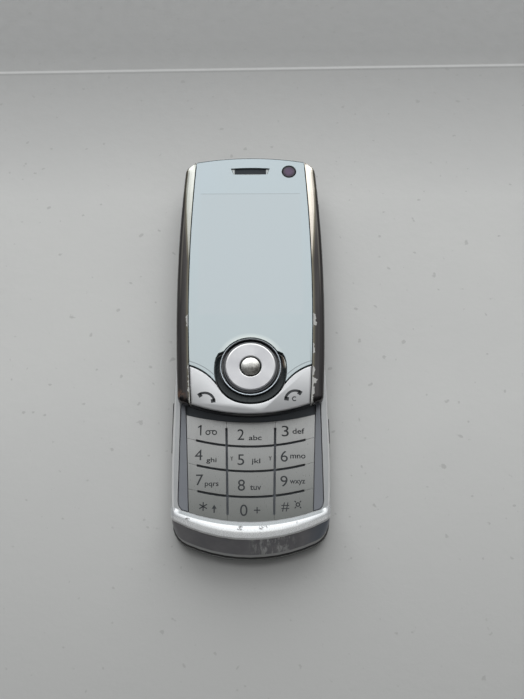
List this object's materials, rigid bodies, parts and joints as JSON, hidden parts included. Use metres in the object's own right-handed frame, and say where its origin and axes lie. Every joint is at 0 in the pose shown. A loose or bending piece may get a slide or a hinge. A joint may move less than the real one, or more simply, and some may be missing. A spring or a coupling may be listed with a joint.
{
  "type": "slider phone",
  "caption": "Slider phone, open: glass-fronted upper half with navigation key slides over a keypad half with a raised chin.",
  "frame": {"origin": "centre of the lower half's flat back, on the surface it lies on", "axes": "+Y along the phone to the earpiece end, +X to the right seen from the front, +Z out of the keypad"},
  "size_m": [0.0482, 0.1341, 0.0129],
  "materials": {
    "silver_case": "silver paint, satin",
    "bright_chin": "bright silver paint, semi-gloss",
    "dark_chin": "dark grey paint, worn",
    "grey_plastic": "fine matt",
    "grey_strip": "satin",
    "black_gloss": "gloss",
    "black_plastic": "matt",
    "dark_chrome": "dark chrome, polished",
    "bright_chrome": "polished",
    "silver_plate": "silver, satin",
    "key_metal": "satin",
    "rubber": "matt",
    "steel": "stamped",
    "board": "solder mask",
    "film": "satin film",
    "antenna_brass": "satin",
    "battery_wrap": "satin film",
    "front_glass": "clear hard coat over a pale display, reads as a mirror-like pane",
    "display": "gloss",
    "lens": "gloss"
  },
  "bodies": {
    "base": {"rear_case": "grey_plastic", "front_case": "silver_case", "chin_cover": "bright_chin", "chin_face": "dark_chin", "keypad_strip_left": "grey_strip", "keypad_strip_right": "grey_strip", "keypad_mat": "rubber", "dome_sheet": "film", "main_board": "board", "battery": "battery_wrap", "guide_plate": "steel", "loudspeaker": "black_plastic", "vibration_motor": "steel", "sim_socket": "steel", "antenna": "antenna_brass", "system_connector": "black_plastic", "case_screw_1": "steel", "case_screw_2": "steel", "case_screw_3": "steel", "case_screw_4": "steel"},
    "slider": {"slider_rear_case": "black_gloss", "slider_front_case": "black_gloss", "front_glass": "front_glass", "trim_left": "dark_chrome", "trim_right": "dark_chrome", "nav_bezel": "black_gloss", "nav_rim": "bright_chrome", "earpiece_grille": "black_plastic", "front_camera_lens": "lens", "front_camera": "black_plastic", "display_module": "display", "earpiece": "black_plastic", "slider_board": "board", "carriage_plate": "steel", "main_camera_window": "lens", "main_camera": "black_plastic"},
    "battery_cover": {"battery_cover": "grey_plastic"},
    "volume_rocker": {"volume_rocker": "grey_plastic"},
    "camera_key": {"camera_key": "grey_plastic"},
    "call_plate": {"call_plate": "silver_plate"},
    "nav_gimbal": {"nav_gimbal": "steel"},
    "nav_ring": {"nav_ring": "silver_plate"},
    "ok_button": {"ok_button": "bright_chrome"},
    "key_star": {"key_star": "key_metal"},
    "key_0": {"key_0": "key_metal"},
    "key_hash": {"key_hash": "key_metal"},
    "key_7": {"key_7": "key_metal"},
    "key_8": {"key_8": "key_metal"},
    "key_9": {"key_9": "key_metal"},
    "key_4": {"key_4": "key_metal"},
    "key_5": {"key_5": "key_metal"},
    "key_6": {"key_6": "key_metal"},
    "key_1": {"key_1": "key_metal"},
    "key_2": {"key_2": "key_metal"},
    "key_3": {"key_3": "key_metal"}
  },
  "joints": [
    {"name": "slide_open", "type": "slide", "parent": "base", "child": "slider", "axis": [0, 1, 0], "range_m": [-0.032, 0]},
    {"name": "cover_slide", "type": "slide", "parent": "base", "child": "battery_cover", "axis": [0, 1, 0], "range_m": [0, 0.008]},
    {"name": "volume_rock", "type": "hinge", "parent": "base", "child": "volume_rocker", "pos_m": [-0.0229, -0.0117, 0.0052], "axis": [0, 0, 1], "range_deg": [-1, 1], "stiffness_Nm_per_rad": 0.5},
    {"name": "camera_press", "type": "slide", "parent": "base", "child": "camera_key", "axis": [-1, 0, 0], "range_m": [0, 0.00025], "stiffness_N_per_m": 3000},
    {"name": "call_rock", "type": "hinge", "parent": "slider", "child": "call_plate", "pos_m": [0, 0, 0.0112], "axis": [0, 1, 0], "range_deg": [-0.8, 0.8], "stiffness_Nm_per_rad": 1},
    {"name": "nav_tilt_up_down", "type": "hinge", "parent": "slider", "child": "nav_gimbal", "pos_m": [0, 0.00595, 0.0113], "axis": [1, 0, 0], "range_deg": [-1, 1], "stiffness_Nm_per_rad": 1},
    {"name": "nav_tilt_left_right", "type": "hinge", "parent": "nav_gimbal", "child": "nav_ring", "pos_m": [0, 0.00595, 0.0113], "axis": [0, 1, 0], "range_deg": [-1, 1], "stiffness_Nm_per_rad": 1},
    {"name": "ok_press", "type": "slide", "parent": "slider", "child": "ok_button", "axis": [0, 0, -1], "range_m": [0, 0.00025], "stiffness_N_per_m": 3000},
    {"name": "key_star_press", "type": "slide", "parent": "base", "child": "key_star", "axis": [0, 0, -1], "range_m": [0, 0.00025], "stiffness_N_per_m": 3000},
    {"name": "key_0_press", "type": "slide", "parent": "base", "child": "key_0", "axis": [0, 0, -1], "range_m": [0, 0.00025], "stiffness_N_per_m": 3000},
    {"name": "key_hash_press", "type": "slide", "parent": "base", "child": "key_hash", "axis": [0, 0, -1], "range_m": [0, 0.00025], "stiffness_N_per_m": 3000},
    {"name": "key_7_press", "type": "slide", "parent": "base", "child": "key_7", "axis": [0, 0, -1], "range_m": [0, 0.00025], "stiffness_N_per_m": 3000},
    {"name": "key_8_press", "type": "slide", "parent": "base", "child": "key_8", "axis": [0, 0, -1], "range_m": [0, 0.00025], "stiffness_N_per_m": 3000},
    {"name": "key_9_press", "type": "slide", "parent": "base", "child": "key_9", "axis": [0, 0, -1], "range_m": [0, 0.00025], "stiffness_N_per_m": 3000},
    {"name": "key_4_press", "type": "slide", "parent": "base", "child": "key_4", "axis": [0, 0, -1], "range_m": [0, 0.00025], "stiffness_N_per_m": 3000},
    {"name": "key_5_press", "type": "slide", "parent": "base", "child": "key_5", "axis": [0, 0, -1], "range_m": [0, 0.00025], "stiffness_N_per_m": 3000},
    {"name": "key_6_press", "type": "slide", "parent": "base", "child": "key_6", "axis": [0, 0, -1], "range_m": [0, 0.00025], "stiffness_N_per_m": 3000},
    {"name": "key_1_press", "type": "slide", "parent": "base", "child": "key_1", "axis": [0, 0, -1], "range_m": [0, 0.00025], "stiffness_N_per_m": 3000},
    {"name": "key_2_press", "type": "slide", "parent": "base", "child": "key_2", "axis": [0, 0, -1], "range_m": [0, 0.00025], "stiffness_N_per_m": 3000},
    {"name": "key_3_press", "type": "slide", "parent": "base", "child": "key_3", "axis": [0, 0, -1], "range_m": [0, 0.00025], "stiffness_N_per_m": 3000}
  ]
}
